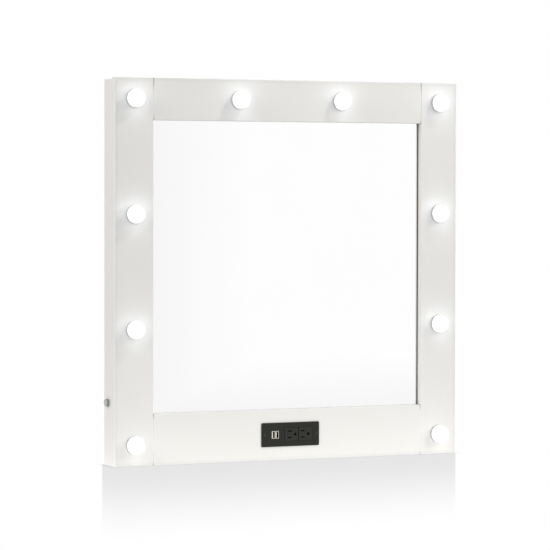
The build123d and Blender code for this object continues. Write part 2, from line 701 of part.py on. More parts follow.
with BuildPart() as dimmer_washer:
    with BuildSketch(Plane.YZ.offset(-SIDE_X)):
        with Locations((KNOB_Y, KNOB_Z)):
            Circle(WASHER_R)
            Circle(BUSH_R, mode=Mode.SUBTRACT)
    extrude(amount=-WASHER_T)
save(dimmer_washer, "dimmer_washer")

# ---------------------------------------------------------------------------
# power unit in the bottom rail
# ---------------------------------------------------------------------------
PLATE_X = 0.9                          # plate centre
PLATE_W = 125.2
PLATE_H = 46.7
PLATE_T = 2.0
PLATE_R = 2.2
PLATE_EDGE_R = 0.8
LIP_D = 3.0
LIP_GAP = 0.5                          # inside the rail's opening
LIP_T = 2.0
Y_PLATE = Y_FRONT - PLATE_T

OUTLET_X = (3.0, 33.6)                 # centres of the two modules
OUTLET_SHIFT = (0.9, -1.3)             # openings, off the centre of each module
OUTLET_W = 29.4
OUTLET_H = 26.0
OUTLET_D = 20.0
BLADE_GAP = 12.7                       # blade to blade
BLADE_OFF = -5.0                       # blades from the openings' centre
EARTH_OFF = 11.9                       # blades to earth pin
OUTLET_FACE_T = 3.0
POCKET_D = 12.0
CONTACT_D = 9.0
Y_OUTLET = Y_PLATE - 0.3
Y_POCKET = Y_OUTLET + OUTLET_FACE_T
Y_POCKET_END = Y_POCKET + POCKET_D
UPPER_BLADE_Z = POWER_Z + BLADE_GAP / 2
LOWER_BLADE_Z = POWER_Z - BLADE_GAP / 2
OUTLET_MID = (OUTLET_X[0] + OUTLET_X[1]) / 2
OUTLET_SPAN = OUTLET_X[1] - OUTLET_X[0] + OUTLET_W
BLADE_X = [x + shift + BLADE_OFF for x, shift in zip(OUTLET_X, OUTLET_SHIFT)]

USB_X = -32.4
USB_PITCH = 8.0
USB_W = 6.9
USB_H = 14.3
USB_WALL = 0.7
USB_IN_R = 0.4
USB_D = 14.0
USB_BASE_T = 2.0
Y_USB = Y_PLATE - 0.35
Y_USB_END = Y_USB + USB_D
USB_IN_W = USB_W - 2 * USB_WALL
USB_IN_H = USB_H - 2 * USB_WALL
USB_PORTS = [(USB_X - USB_PITCH / 2, POWER_Z), (USB_X + USB_PITCH / 2, POWER_Z)]

POWER_HEAD_R = 2.5
HEAD_HOLE_R = POWER_HEAD_R + 0.1

with BuildPart() as power_faceplate:
    with BuildSketch(facing(Y_FRONT)):
        with Locations((PLATE_X, POWER_Z)):
            RectangleRounded(PLATE_W, PLATE_H, PLATE_R)
    extrude(amount=PLATE_T)
    fillet(power_faceplate.faces().sort_by(Axis.Y)[0].edges(), PLATE_EDGE_R)
    # a lip behind the plate that centres it in the rail's opening
    lip_w = POWER_CUT_W - 2 * LIP_GAP
    lip_h = POWER_CUT_H - 2 * LIP_GAP
    with BuildSketch(facing(Y_FRONT + LIP_D)):
        with Locations((0, POWER_Z)):
            RectangleRounded(lip_w, lip_h, POWER_CUT_R - LIP_GAP)
            Rectangle(lip_w - 2 * LIP_T, lip_h - 2 * LIP_T, mode=Mode.SUBTRACT)
    extrude(amount=LIP_D)
    # openings for the outlets and the USB ports
    with BuildSketch(facing(Y_FRONT)):
        with Locations((OUTLET_MID, POWER_Z)):
            RectangleRounded(OUTLET_SPAN + 1.0, OUTLET_H + 0.8, 0.6)
        with Locations(*USB_PORTS):
            RectangleRounded(USB_W + 0.4, USB_H + 0.4, 1.0)
    extrude(amount=PLATE_T, mode=Mode.SUBTRACT)
    for x in POWER_SCREW_X:
        turned(x, Y_PLATE, POWER_Z,
               [(0, 0), (HEAD_HOLE_R, 0), (HEAD_HOLE_R, 0.1), (1.7, 1.1), (1.7, PLATE_T),
                (0, PLATE_T)], mode=Mode.SUBTRACT)
save(power_faceplate, "power_faceplate")

HOUSE_W, HOUSE_H, HOUSE_T = 100.0, 30.0, 1.5
Y_HOUSE_FRONT = Y_FRONT + 0.1
Y_HOUSE_BACK = Y_FRONT + 34.0
with BuildPart() as power_housing:
    with BuildSketch(facing(Y_HOUSE_BACK)):
        with Locations((0, POWER_Z)):
            RectangleRounded(HOUSE_W, HOUSE_H, 2)
    extrude(amount=Y_HOUSE_BACK - Y_HOUSE_FRONT)
    with BuildSketch(facing(Y_HOUSE_BACK - HOUSE_T)):
        with Locations((0, POWER_Z)):
            RectangleRounded(HOUSE_W - 2 * HOUSE_T, HOUSE_H - 2 * HOUSE_T, 1)
    extrude(amount=Y_HOUSE_BACK - HOUSE_T - Y_HOUSE_FRONT, mode=Mode.SUBTRACT)
save(power_housing, "power_housing")

with BuildPart() as outlet_faces:
    for outlet_x, blade_x in zip(OUTLET_X, BLADE_X):
        with BuildSketch(facing(Y_OUTLET + OUTLET_D)):
            with Locations((outlet_x, POWER_Z)):
                RectangleRounded(OUTLET_W, OUTLET_H, 0.8)
        extrude(amount=OUTLET_D)
        # blade slots, the upper one longer, and the round earth hole
        with BuildSketch(facing(Y_POCKET)):
            with Locations((blade_x, UPPER_BLADE_Z)):
                Rectangle(8.6, 2.4)
            with Locations((blade_x, LOWER_BLADE_Z)):
                Rectangle(7.6, 2.4)
            with Locations((blade_x + EARTH_OFF, POWER_Z)):
                Circle(2.75)
        extrude(amount=OUTLET_FACE_T, mode=Mode.SUBTRACT)
        # pockets behind them for the contacts
        with BuildSketch(facing(Y_POCKET_END)):
            with Locations((blade_x, UPPER_BLADE_Z), (blade_x, LOWER_BLADE_Z)):
                Rectangle(9.4, 4.6)
            with Locations((blade_x + EARTH_OFF, POWER_Z)):
                Circle(3.6)
        extrude(amount=POCKET_D, mode=Mode.SUBTRACT)
save(outlet_faces, "outlet_faces")

LEAF_OFF = 1.4                         # contact leaf from the blade's middle
with BuildPart() as outlet_contacts:
    for blade_x in BLADE_X:
        # a pair of leaves for each blade
        with BuildSketch(facing(Y_POCKET_END)):
            for z in (LOWER_BLADE_Z, UPPER_BLADE_Z):
                with Locations((blade_x, z + LEAF_OFF), (blade_x, z - LEAF_OFF)):
                    Rectangle(8.6, 0.7)
        extrude(amount=CONTACT_D)
        # earth sleeve
        with BuildSketch(facing(Y_POCKET_END)):
            with Locations((blade_x + EARTH_OFF, POWER_Z)):
                Circle(3.3)
                Circle(2.8, mode=Mode.SUBTRACT)
        extrude(amount=CONTACT_D)
save(outlet_contacts, "outlet_contacts")

with BuildPart() as usb_shells:
    with BuildSketch(facing(Y_USB_END)):
        with Locations(*USB_PORTS):
            RectangleRounded(USB_W, USB_H, 0.9)
            RectangleRounded(USB_IN_W, USB_IN_H, USB_IN_R, mode=Mode.SUBTRACT)
    extrude(amount=USB_D)
save(usb_shells, "usb_shells")

with BuildPart() as usb_tongues:
    with BuildSketch(facing(Y_USB_END)):
        with Locations(*USB_PORTS):
            RectangleRounded(USB_IN_W, USB_IN_H, USB_IN_R)
    extrude(amount=USB_BASE_T)
    with BuildSketch(facing(Y_USB_END - USB_BASE_T)):
        with Locations(*[(x - 1.55, z) for x, z in USB_PORTS]):
            Rectangle(2.0, 11.6)
    extrude(amount=10.6)
save(usb_tongues, "usb_tongues")

USB_BOARD_T = 1.6
USB_PARTS_H = 8.0                      # block and round part behind the board
Y_USB_BOARD_REAR = Y_USB_END + USB_BOARD_T
with BuildPart() as usb_board:
    with BuildSketch(facing(Y_USB_BOARD_REAR)):
        with Locations((USB_X, POWER_Z)):
            Rectangle(24, 25)
    extrude(amount=USB_BOARD_T)
    with BuildSketch(facing(Y_USB_BOARD_REAR + USB_PARTS_H)):
        with Locations((USB_X - 5, POWER_Z + 5)):
            Rectangle(10, 11)
        with Locations((USB_X + 6, POWER_Z - 5)):
            Circle(4)
    extrude(amount=USB_PARTS_H)
save(usb_board, "usb_board")

POWER_SCREW_L = PLATE_T + POWER_SCREW_REACH
with BuildPart() as power_screws:
    for x in POWER_SCREW_X:
        turned(x, Y_PLATE, POWER_Z,
               [(0, -0.35), (1.3, -0.28), (POWER_HEAD_R, 0), (POWER_HEAD_R, 0.1), (SCREW_R, 1.1),
                (SCREW_R, POWER_SCREW_L - 1.2), (0, POWER_SCREW_L)])
        # cross recess in the front of the head
        with BuildSketch(facing(Y_PLATE + 0.8)):
            with Locations((x, POWER_Z)):
                Rectangle(2.8, 0.7)
                Rectangle(0.7, 2.8)
        extrude(amount=1.2, mode=Mode.SUBTRACT)
save(power_screws, "power_screws")

# ---------------------------------------------------------------------------
# LED driver on the bottom panel
# ---------------------------------------------------------------------------
DRIVER_L = DRIVER_X1 - DRIVER_X0
DRIVER_W = DRIVER_Y1 - DRIVER_Y0
DRIVER_H = 28.0
DRIVER_Z = BOX_T
DRIVER_WALL = 2.0                      # case walls, cover and tabs
TAB_SIZE = 12.0
TAB_OUT = 5.0                          # tab's centre outside the case end
COVER_RIM_D = 3.0
COVER_GAP = 0.2                        # rim inside the case walls
COVER_RIM_T = 1.5
RIM_L = DRIVER_L - 2 * (DRIVER_WALL + COVER_GAP)
RIM_W = DRIVER_W - 2 * (DRIVER_WALL + COVER_GAP)
TAB_TOP = DRIVER_Z + DRIVER_WALL

with BuildPart() as driver_case:
    with BuildSketch(Plane.XY.offset(DRIVER_Z)):
        with Locations((DRIVER_X, DRIVER_Y)):
            RectangleRounded(DRIVER_L, DRIVER_W, 3)
    extrude(amount=DRIVER_H - DRIVER_WALL)
    with BuildSketch(Plane.XY.offset(DRIVER_Z + DRIVER_WALL)):
        with Locations((DRIVER_X, DRIVER_Y)):
            RectangleRounded(DRIVER_L - 2 * DRIVER_WALL, DRIVER_W - 2 * DRIVER_WALL, 2)
    extrude(amount=DRIVER_H - 2 * DRIVER_WALL, mode=Mode.SUBTRACT)
    # screw tabs at both ends
    with BuildSketch(Plane.XY.offset(DRIVER_Z)):
        with Locations((DRIVER_X0 - TAB_OUT, DRIVER_Y), (DRIVER_X1 + TAB_OUT, DRIVER_Y)):
            Rectangle(TAB_SIZE, TAB_SIZE)
        with Locations(*DRIVER_SCREWS):
            Circle(SCREW_R, mode=Mode.SUBTRACT)
    extrude(amount=DRIVER_WALL)
save(driver_case, "driver_case")

with BuildPart() as driver_cover:
    with BuildSketch(Plane.XY.offset(DRIVER_Z + DRIVER_H - DRIVER_WALL)):
        with Locations((DRIVER_X, DRIVER_Y)):
            RectangleRounded(DRIVER_L, DRIVER_W, 3)
    extrude(amount=DRIVER_WALL)
    with BuildSketch(Plane.XY.offset(DRIVER_Z + DRIVER_H - DRIVER_WALL - COVER_RIM_D)):
        with Locations((DRIVER_X, DRIVER_Y)):
            RectangleRounded(RIM_L, RIM_W, 2)
            RectangleRounded(RIM_L - 2 * COVER_RIM_T, RIM_W - 2 * COVER_RIM_T, 1,
                             mode=Mode.SUBTRACT)
    extrude(amount=COVER_RIM_D)
save(driver_cover, "driver_cover")

# (radius, height above the tab)
DRIVER_SCREW_OUTLINE = [(0, 1.8), (1.9, 1.8), (2.6, 1.0), (2.6, 0),
                        (SCREW_R, 0), (SCREW_R, -10.8), (0, -11.8)]
with BuildPart() as driver_screws:
    for x, y in DRIVER_SCREWS:
        with BuildSketch(facing(y)):
            with BuildLine():
                Polyline(*[(x + r, TAB_TOP + h) for r, h in DRIVER_SCREW_OUTLINE], close=True)
            make_face()
        revolve(axis=Axis((x, y, 0), (0, 0, 1)))
save(driver_screws, "driver_screws")

# ---------------------------------------------------------------------------
# mains inlet at the back
# ---------------------------------------------------------------------------
INLET_D = 22.0
INLET_FLANGE_T = 2.5
INLET_WALL = 2.0
INLET_POCKET_D = 17.0
PIN_R = 1.2
PIN_SET_BACK = 4.0                     # pin ends in front of the back
PIN_L = INLET_D + 2.0
PINS = [(INLET_X - 7, INLET_Z - 2), (INLET_X + 7, INLET_Z - 2), (INLET_X, INLET_Z + 2)]

with BuildPart() as mains_inlet:
    with BuildSketch(facing(Y_BACK)):
        with Locations((INLET_X, INLET_Z)):
            RectangleRounded(INLET_W, INLET_H, 3)
    extrude(amount=INLET_D)
    with BuildSketch(facing(Y_BACK_IN)):
        with Locations((INLET_X, INLET_Z)):
            RectangleRounded(50, 24, 3)
    extrude(amount=INLET_FLANGE_T)
    with BuildSketch(facing(Y_BACK)):
        with Locations((INLET_X, INLET_Z)):
            RectangleRounded(INLET_W - 2 * INLET_WALL, INLET_H - 2 * INLET_WALL, 2)
    extrude(amount=INLET_POCKET_D, mode=Mode.SUBTRACT)
    bores_y(INLET_SCREWS, SCREW_R, Y_BACK_IN, Y_BACK_IN - INLET_FLANGE_T)
    bores_y(PINS, PIN_R, Y_BACK - INLET_POCKET_D, Y_BACK - INLET_D)
save(mains_inlet, "mains_inlet")

with BuildPart() as mains_inlet_pins:
    with BuildSketch(facing(Y_BACK - PIN_SET_BACK)):
        with Locations(*PINS):
            Circle(PIN_R)
    extrude(amount=PIN_L)
save(mains_inlet_pins, "mains_inlet_pins")

# ---------------------------------------------------------------------------
# wall hanging: wooden blocks under the top panel and keyhole plates on them
# ---------------------------------------------------------------------------
HANG_ENTRY_R = 4.5
HANG_SLOT_R = 2.5
HANG_DROP = 11.0                       # keyhole entry up to the slot's end
HANG_BLOCK_W = 56.0
HANG_BLOCK_H = 52.0
HANG_BLOCK_T = 22.0
HEAD_ROOM_W = 14.0
HEAD_ROOM_D = 17.0
HANG_PLATE_T = 2.0
HANG_SCREW_OFF = 19.0                  # either side of the plate's centre
HANG_SCREW_D = 12.0                    # into the block
HANG_SCREW_L = HANG_PLATE_T + HANG_SCREW_D
Y_HANG_PLATE = Y_BACK_IN + HANG_PLATE_T


def hang_screws(side):
    return [(side * HANG_X + dx, HANG_PLATE_Z) for dx in (-HANG_SCREW_OFF, HANG_SCREW_OFF)]


with BuildPart() as hanger_blocks:
    for s in SIDES:
        with BuildSketch(facing(Y_BACK_IN)):
            with Locations((s * HANG_X, BOX_TOP - BOX_T - HANG_BLOCK_H / 2)):
                Rectangle(HANG_BLOCK_W, HANG_BLOCK_H)
        extrude(amount=HANG_BLOCK_T)
        # room for the wall screw's head
        with BuildSketch(facing(Y_BACK_IN)):
            with Locations((s * HANG_X, HANG_Z + HANG_DROP / 2)):
                SlotOverall(HANG_DROP + HEAD_ROOM_W, HEAD_ROOM_W, rotation=90)
        extrude(amount=HEAD_ROOM_D, mode=Mode.SUBTRACT)
        bores_y(hang_screws(s), SCREW_R, Y_BACK_IN, Y_BACK_IN - HANG_SCREW_D)
save(hanger_blocks, "hanger_blocks")

with BuildPart() as hanger_plates:
    for s in SIDES:
        with BuildSketch(facing(Y_HANG_PLATE)):
            with Locations((s * HANG_X, HANG_PLATE_Z)):
                RectangleRounded(HANG_PLATE_W, HANG_PLATE_H, HANG_PLATE_R)
            with Locations((s * HANG_X, HANG_Z)):
                Circle(HANG_ENTRY_R, mode=Mode.SUBTRACT)
            with Locations((s * HANG_X, HANG_Z + HANG_DROP / 2)):
                SlotOverall(HANG_DROP + 2 * HANG_SLOT_R, 2 * HANG_SLOT_R, rotation=90,
                            mode=Mode.SUBTRACT)
        extrude(amount=HANG_PLATE_T)
        bores_y(hang_screws(s), SCREW_R, Y_HANG_PLATE, Y_BACK_IN)
save(hanger_plates, "hanger_plates")

with BuildPart() as hanger_screws:
    for x, z in hang_screws(LEFT) + hang_screws(RIGHT):
        turned(x, Y_HANG_PLATE, z, [(0, 1.0), (1.9, 0.9), (2.7, 0), (SCREW_R, 0),
                                    (SCREW_R, 1.2 - HANG_SCREW_L), (0, -HANG_SCREW_L)])
        cross_recess(x, Y_HANG_PLATE + 1.0, z, 3.0, 0.7)
save(hanger_screws, "hanger_screws")

# ---------------------------------------------------------------------------
# cables: straight runs from socket to socket, and curved runs elsewhere
# ---------------------------------------------------------------------------
CABLE_R = 2.2
Y_CABLE = Y_FRONT + SOCKET_END + TERMINAL_T / 2
BLOCK_HALF = TERMINAL_SIZE / 2         # cables start at the terminal block's edge
CABLE_L = LAMP_PITCH - TERMINAL_SIZE
STILE_END_X = STILE_X - BLOCK_HALF
TOP_END_X = LAMP_PITCH / 2 + BLOCK_HALF
TOP_Z = LAMP_ROWS[3]
DRIVER_CABLE_Z = DRIVER_Z + 18.0
# (direction along X at both ends, points the cable passes through)
CURVED_RUNS = [
    # in front of the hanger blocks
    (1, [(-STILE_END_X, Y_CABLE, TOP_Z), (-HANG_X, 0, TOP_Z), (-TOP_END_X, Y_CABLE, TOP_Z)]),
    (1, [(TOP_END_X, Y_CABLE, TOP_Z), (HANG_X, 0, TOP_Z), (STILE_END_X, Y_CABLE, TOP_Z)]),
    # inlet to power unit
    (1, [(INLET_X + INLET_W / 2, 16, INLET_Z), (-120, 4, 60), (-HOUSE_W / 2, -6, POWER_Z)]),
    # power unit to driver
    (1, [(HOUSE_W / 2, -6, POWER_Z), (85, 0, 44), (DRIVER_X0, 2, DRIVER_CABLE_Z)]),
    # driver to the lowest lamp on the right
    (1, [(DRIVER_X1, 2, DRIVER_CABLE_Z), (280, 6, 38), (STILE_END_X, Y_CABLE, LAMP_Z0)]),
    # driver to dimmer
    (-1, [(DRIVER_X0, 14, DRIVER_CABLE_Z), (40, 15, 76), (-200, 15, 78), (-300, 13, 112),
          (BODY_END, KNOB_Y, KNOB_Z + 4)]),
]

with BuildPart() as cables:
    # up both stiles
    for z in LAMP_ROWS[:3]:
        with BuildSketch(Plane.XY.offset(z + BLOCK_HALF)):
            with Locations((-STILE_X, Y_CABLE), (STILE_X, Y_CABLE)):
                Circle(CABLE_R)
        extrude(amount=CABLE_L)
    # across the top, between the two middle lamps
    with BuildSketch(Plane.YZ.offset(-LAMP_PITCH / 2 + BLOCK_HALF)):
        with Locations((Y_CABLE, TOP_Z)):
            Circle(CABLE_R)
    extrude(amount=CABLE_L)
    for direction, points in CURVED_RUNS:
        with BuildLine():
            run = Spline(*points, tangents=[(direction, 0, 0), (direction, 0, 0)])
        with BuildSketch(Plane(origin=run @ 0, z_dir=run % 0)):
            Circle(CABLE_R)
        sweep(path=run)
save(cables, "cables")
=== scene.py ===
# Lit mirror in a white lacquered frame, with globe lamps, a dimmer, outlets and USB sockets.
# It is centred on X and faces -Y, with its foot at z = 0. Metres, +Z up.
import math
from functools import reduce

import bpy
from mathutils import Matrix, Vector


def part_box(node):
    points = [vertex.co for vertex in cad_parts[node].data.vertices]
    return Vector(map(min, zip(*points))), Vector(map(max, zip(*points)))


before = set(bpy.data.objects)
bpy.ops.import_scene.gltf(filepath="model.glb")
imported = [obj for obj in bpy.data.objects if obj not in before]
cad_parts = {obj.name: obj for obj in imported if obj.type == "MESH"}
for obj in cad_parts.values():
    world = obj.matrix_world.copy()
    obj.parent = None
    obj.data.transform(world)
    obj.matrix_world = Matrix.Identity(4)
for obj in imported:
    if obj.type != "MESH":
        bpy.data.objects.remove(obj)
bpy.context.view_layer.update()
scene = bpy.context.scene
scene.view_settings.view_transform = "Standard"
scene.view_settings.look = "None"
scene.view_settings.exposure = 0.0
scene.view_settings.gamma = 1.0

HALF_WIDTH = 0.370
HEIGHT = 0.740
FRONT_Y = -0.030        # front of the lamp collars
# the opening between the stiles and rails, where the mirror shows
OPENING_HALF = 0.290
OPENING_FOOT, OPENING_TOP = 0.099, 0.659
KNOB_Y, KNOB_Z = 0.010, 0.120   # the dimmer's axis, which runs along X


def shade(color, gain, cap=1.0):
    """The colour multiplied by gain, with each channel held to cap."""
    return tuple(min(cap, gain * c) for c in color)


# ---------------------------------------------------------------------------
# node helpers
# ---------------------------------------------------------------------------
class Graph:
    """A node tree with its output node, and short calls to add nodes to it."""

    def __init__(self, tree, output_kind):
        self.tree = tree
        tree.nodes.clear()
        self.output = tree.nodes.new(output_kind)

    def node(self, kind, inputs=None, **attrs):
        """Add a node. Sockets given as inputs are linked, other values are set."""
        made = self.tree.nodes.new(kind)
        for name, value in attrs.items():
            setattr(made, name, value)
        for key, value in (inputs or {}).items():
            socket = made.inputs[key]
            if isinstance(value, bpy.types.NodeSocket):
                self.tree.links.new(value, socket)
            elif socket.type == "RGBA" and len(value) == 3:
                socket.default_value = (*value, 1.0)
            else:
                socket.default_value = value
        return made

    def surface(self, socket):
        self.tree.links.new(socket, self.output.inputs["Surface"])

    def ray(self, kind):
        return self.node("ShaderNodeLightPath").outputs[kind]

    def light(self, kind, strength, color=(1, 1, 1)):
        return self.node(kind, {"Color": color, "Strength": strength}).outputs[0]

    def mix_shader(self, factor, a, b):
        return self.node("ShaderNodeMixShader", {0: factor, 1: a, 2: b}).outputs[0]


class Mat(Graph):
    """A material, textured in object coordinates (metres)."""

    PRINCIPLED = {
        "base": "Base Color", "rough": "Roughness", "metal": "Metallic", "normal": "Normal",
        "ior": "IOR", "spec": "Specular IOR Level", "coat": "Coat Weight",
        "coat_rough": "Coat Roughness", "emit": "Emission Color",
        "emit_strength": "Emission Strength", "sss": "Subsurface Weight",
        "sss_radius": "Subsurface Radius", "sss_scale": "Subsurface Scale",
    }

    def __init__(self, name):
        self.material = bpy.data.materials.new(name)
        self.material.use_nodes = True
        super().__init__(self.material.node_tree, "ShaderNodeOutputMaterial")
        self.coord = self.node("ShaderNodeTexCoord").outputs["Object"]

    # arithmetic
    def math(self, operation, a, b=0.0, clamp=False):
        made = self.node("ShaderNodeMath", {0: a, 1: b}, operation=operation, use_clamp=clamp)
        return made.outputs[0]

    def add(self, *values):
        return reduce(lambda a, b: self.math("ADD", a, b), values)

    def mul(self, *values):
        return reduce(lambda a, b: self.math("MULTIPLY", a, b), values)

    def sub(self, a, b):
        return self.math("SUBTRACT", a, b)

    def absolute(self, value):
        return self.math("ABSOLUTE", value)

    def above(self, value, limit):
        return self.math("GREATER_THAN", value, limit)

    def below(self, value, limit):
        return self.math("LESS_THAN", value, limit)

    def between(self, value, low, high):
        return self.mul(self.above(value, low), self.below(value, high))

    def remap(self, value, span, to=(0.0, 1.0)):
        return self.node("ShaderNodeMapRange", {
            "Value": value, "From Min": span[0], "From Max": span[1],
            "To Min": to[0], "To Max": to[1]}).outputs["Result"]

    def spread(self, noise, low=0.0, high=1.0):
        """The middle of a noise's range, 0.3 to 0.7, stretched over low to high."""
        return self.remap(noise, (0.3, 0.7), (low, high))

    def pick(self, factor, a, b):
        return self.node("ShaderNodeMix", {0: factor, 2: a, 3: b}).outputs[0]

    # vectors
    def vector(self, operation, *inputs):
        return self.node("ShaderNodeVectorMath", dict(enumerate(inputs)), operation=operation)

    def xyz(self, vector=None):
        made = self.node("ShaderNodeSeparateXYZ", {"Vector": vector or self.coord})
        return made.outputs["X"], made.outputs["Y"], made.outputs["Z"]

    def geometry(self, output):
        return self.node("ShaderNodeNewGeometry").outputs[output]

    def stretched(self, axis, factor):
        """Coordinates scaled on one axis: a small factor draws a texture out along it."""
        scale = tuple(factor if letter == axis else 1.0 for letter in "XYZ")
        made = self.node("ShaderNodeMapping", {"Vector": self.coord, "Scale": scale})
        return made.outputs["Vector"]

    # textures and colour
    def noise(self, scale, detail=3.0, rough=0.5, vector=None, out="Fac"):
        return self.node("ShaderNodeTexNoise", {
            "Vector": vector or self.coord, "Scale": scale,
            "Detail": detail, "Roughness": rough}).outputs[out]

    def ramp(self, factor, stops):
        made = self.node("ShaderNodeValToRGB", {"Fac": factor})
        elements = made.color_ramp.elements
        while len(elements) < len(stops):
            elements.new(0.5)
        for element, (position, color) in zip(elements, stops):
            element.position = position
            element.color = (*color, 1.0)
        return made.outputs["Color"]

    def mix(self, factor, a, b):
        # sockets 6 and 7 are the colours A and B, and output 2 is the colour result
        return self.node("ShaderNodeMix", {0: factor, 6: a, 7: b}, data_type="RGBA").outputs[2]

    def tint(self, color, mask, amount, to):
        """Take color towards another by amount where mask is 1."""
        return self.mix(self.mul(mask, amount), color, to)

    def bump(self, height, strength, distance):
        return self.node("ShaderNodeBump", {
            "Height": height, "Strength": strength, "Distance": distance}).outputs["Normal"]

    def edges(self, radius):
        """1 on an edge, 0 on a flat, from how far a bevelled normal leans from the true one."""
        bevelled = self.node("ShaderNodeBevel", {"Radius": radius}, samples=4).outputs["Normal"]
        dot = self.vector("DOT_PRODUCT", bevelled, self.geometry("Normal")).outputs["Value"]
        return self.remap(dot, (0.80, 0.995), (1.0, 0.0))

    def crevice(self, distance, span=(0.35, 0.95)):
        """1 where surfaces close in within distance, 0 in the open."""
        occlusion = self.node("ShaderNodeAmbientOcclusion", {"Distance": distance}, samples=6)
        return self.remap(occlusion.outputs["AO"], span, (1.0, 0.0))

    def shade_behind_mouth(self, color, shade_color, mouth_y, depth):
        """Painted shade: fade to a dark colour a little way behind a socket's mouth."""
        y = self.xyz()[1]
        return self.mix(self.remap(y, (mouth_y + 0.0004, mouth_y + depth)), color, shade_color)

    def finish(self, **inputs):
        """Put a Principled shader on the surface and return the material."""
        named = {self.PRINCIPLED[key]: value for key, value in inputs.items()}
        self.surface(self.node("ShaderNodeBsdfPrincipled", named).outputs["BSDF"])
        return self.material


# ---------------------------------------------------------------------------
# materials
# ---------------------------------------------------------------------------
LACQUER = shade((1.0, 0.985, 0.95), 0.80)


def from_joint(m, x):
    """Distance either side of the line x = OPENING_HALF, on both halves of the frame."""
    return m.absolute(m.sub(m.absolute(x), OPENING_HALF))


def joint_marks(m, color, x, y, z):
    """Butt joints of stile and rail: lacquer fills them, shown by a painted highlight along the
    joint line, but they open a hair at their ends.
    """
    length = 0.013      # of the open part next to the mirror
    slack = 0.001       # let past each end of an open part
    near = m.remap(from_joint(m, x), (0.0008, 0.0017), (1.0, 0.0))
    ends = m.remap(z, (0.714, 0.736))
    # z from, z to, openness at each
    for z_from, z_to, open_from, open_to in (
            (OPENING_TOP, OPENING_TOP + length, 1.0, 0.0),
            (OPENING_FOOT - length, OPENING_FOOT, 0.0, 1.0),
            (0.001, 0.010, 0.5, 0.0)):
        band = m.mul(m.remap(z, (z_from, z_to), (open_from, open_to)),
                     m.between(z, z_from - slack, z_to + slack))
        ends = m.math("MAXIMUM", ends, band)
    front = m.below(y, -0.0265)
    opened = m.mul(near, ends, front)
    joined = m.add(m.below(z, OPENING_FOOT), m.above(z, OPENING_TOP))
    # painted highlight along the joint line on the front, away from its open ends
    joint_highlight = m.mul(near, m.math("SUBTRACT", joined, ends, clamp=True), front)
    # the painted highlight is stronger on the bottom joints than on the top ones
    joint_highlight_amount = m.remap(z, (0.08, 0.12), (0.42, 0.22))
    color = m.tint(color, joint_highlight, joint_highlight_amount, to=shade(LACQUER, 1.25, cap=0.97))
    return m.tint(color, opened, 0.50, to=(0.22, 0.215, 0.20))


def lacquer(name, grain_axis, joints=False):
    """Satin white lacquer: faint clouding, orange-peel skin, a painted highlight and a band of
    painted shade at the edges, and painted shade in the seams.
    """
    m = Mat(name)
    cloud = m.noise(scale=5.0, detail=4.0, rough=0.55)
    roller = m.noise(scale=170.0, detail=2.0, vector=m.stretched(grain_axis, 0.12))
    peel = m.noise(scale=900.0, detail=2.0, rough=0.45)
    pores = m.noise(scale=2600.0, detail=1.0)
    color = m.mix(m.spread(cloud), shade(LACQUER, 0.975), LACQUER)
    color = m.mix(m.remap(roller, (0.35, 0.65), (0.0, 0.25)), color, shade(LACQUER, 0.965))

    # painted shade in a band along the front's outer edges, and a painted highlight at the arris
    x, y, z = m.xyz()
    normal_x, normal_y, _ = m.xyz(m.geometry("True Normal"))
    inward = m.math("MINIMUM", m.sub(HALF_WIDTH, m.absolute(x)),
                    m.math("MINIMUM", z, m.sub(HEIGHT, z)))
    on_face = m.mul(m.below(normal_y, -0.7), m.below(y, -0.029))
    # painted shade: a darker band along the front's outer edges
    edge_band_shade = m.mul(m.remap(inward, (0.0045, 0.0075), (1.0, 0.0)), on_face)
    color = m.tint(color, edge_band_shade, 0.75, to=shade(LACQUER, 0.93))
    # painted highlight on the front arris of the sides
    painted_highlight_tone = shade(LACQUER, 1.10)
    arris = m.mul(m.above(m.absolute(normal_x), 0.3), m.remap(y, (-0.0255, -0.0235), (1.0, 0.0)))
    color = m.tint(color, arris, 0.7, to=painted_highlight_tone)
    # the rounded edges are lighter: painted highlight and slight wear
    edge = m.edges(radius=0.0011)
    color = m.tint(color, edge, 0.65, to=painted_highlight_tone)

    # painted shade darkens the crevices, but little of it along the joint lines
    off_joint = m.remap(from_joint(m, x), (0.0015, 0.0035), (1.0, 0.12))
    color = m.tint(color, m.mul(m.crevice(0.005), off_joint), 0.38, to=shade(LACQUER, 0.55))
    if joints:
        color = joint_marks(m, color, x, y, z)

    rough = m.add(m.spread(cloud, 0.34, 0.42), m.spread(peel, -0.02, 0.03), m.mul(edge, 0.08))
    height = m.add(m.mul(peel, 1.0), m.mul(roller, 0.6), m.mul(pores, 0.25))
    return m.finish(base=color, rough=rough, ior=1.48, coat=0.12, coat_rough=0.22,
                    normal=m.bump(height, strength=0.16, distance=0.00022))


def hardboard_white():
    """Matt white-faced hardboard with a fine leather-like grain and faint fibre flecks."""
    m = Mat("hardboard_face")
    fleck = m.noise(scale=420.0, detail=5.0, rough=0.7)
    cloud = m.noise(scale=3.0)
    grain = m.node("ShaderNodeTexVoronoi", {
        "Vector": m.coord, "Scale": 700.0, "Randomness": 1.0}).outputs["Distance"]
    color = m.ramp(fleck, [
        (0.30, (0.56, 0.53, 0.48)), (0.42, (0.73, 0.72, 0.69)), (1.0, (0.79, 0.785, 0.765))])
    color = m.mix(m.spread(cloud, high=0.35), color, (0.70, 0.69, 0.66))
    # painted shade darkens the crevices
    color = m.tint(color, m.crevice(0.004), 0.7, to=(0.34, 0.27, 0.20))
    height = m.add(grain, m.mul(fleck, 0.8))
    return m.finish(base=color, rough=m.spread(fleck, 0.62, 0.8),
                    normal=m.bump(height, strength=0.22, distance=0.0002))


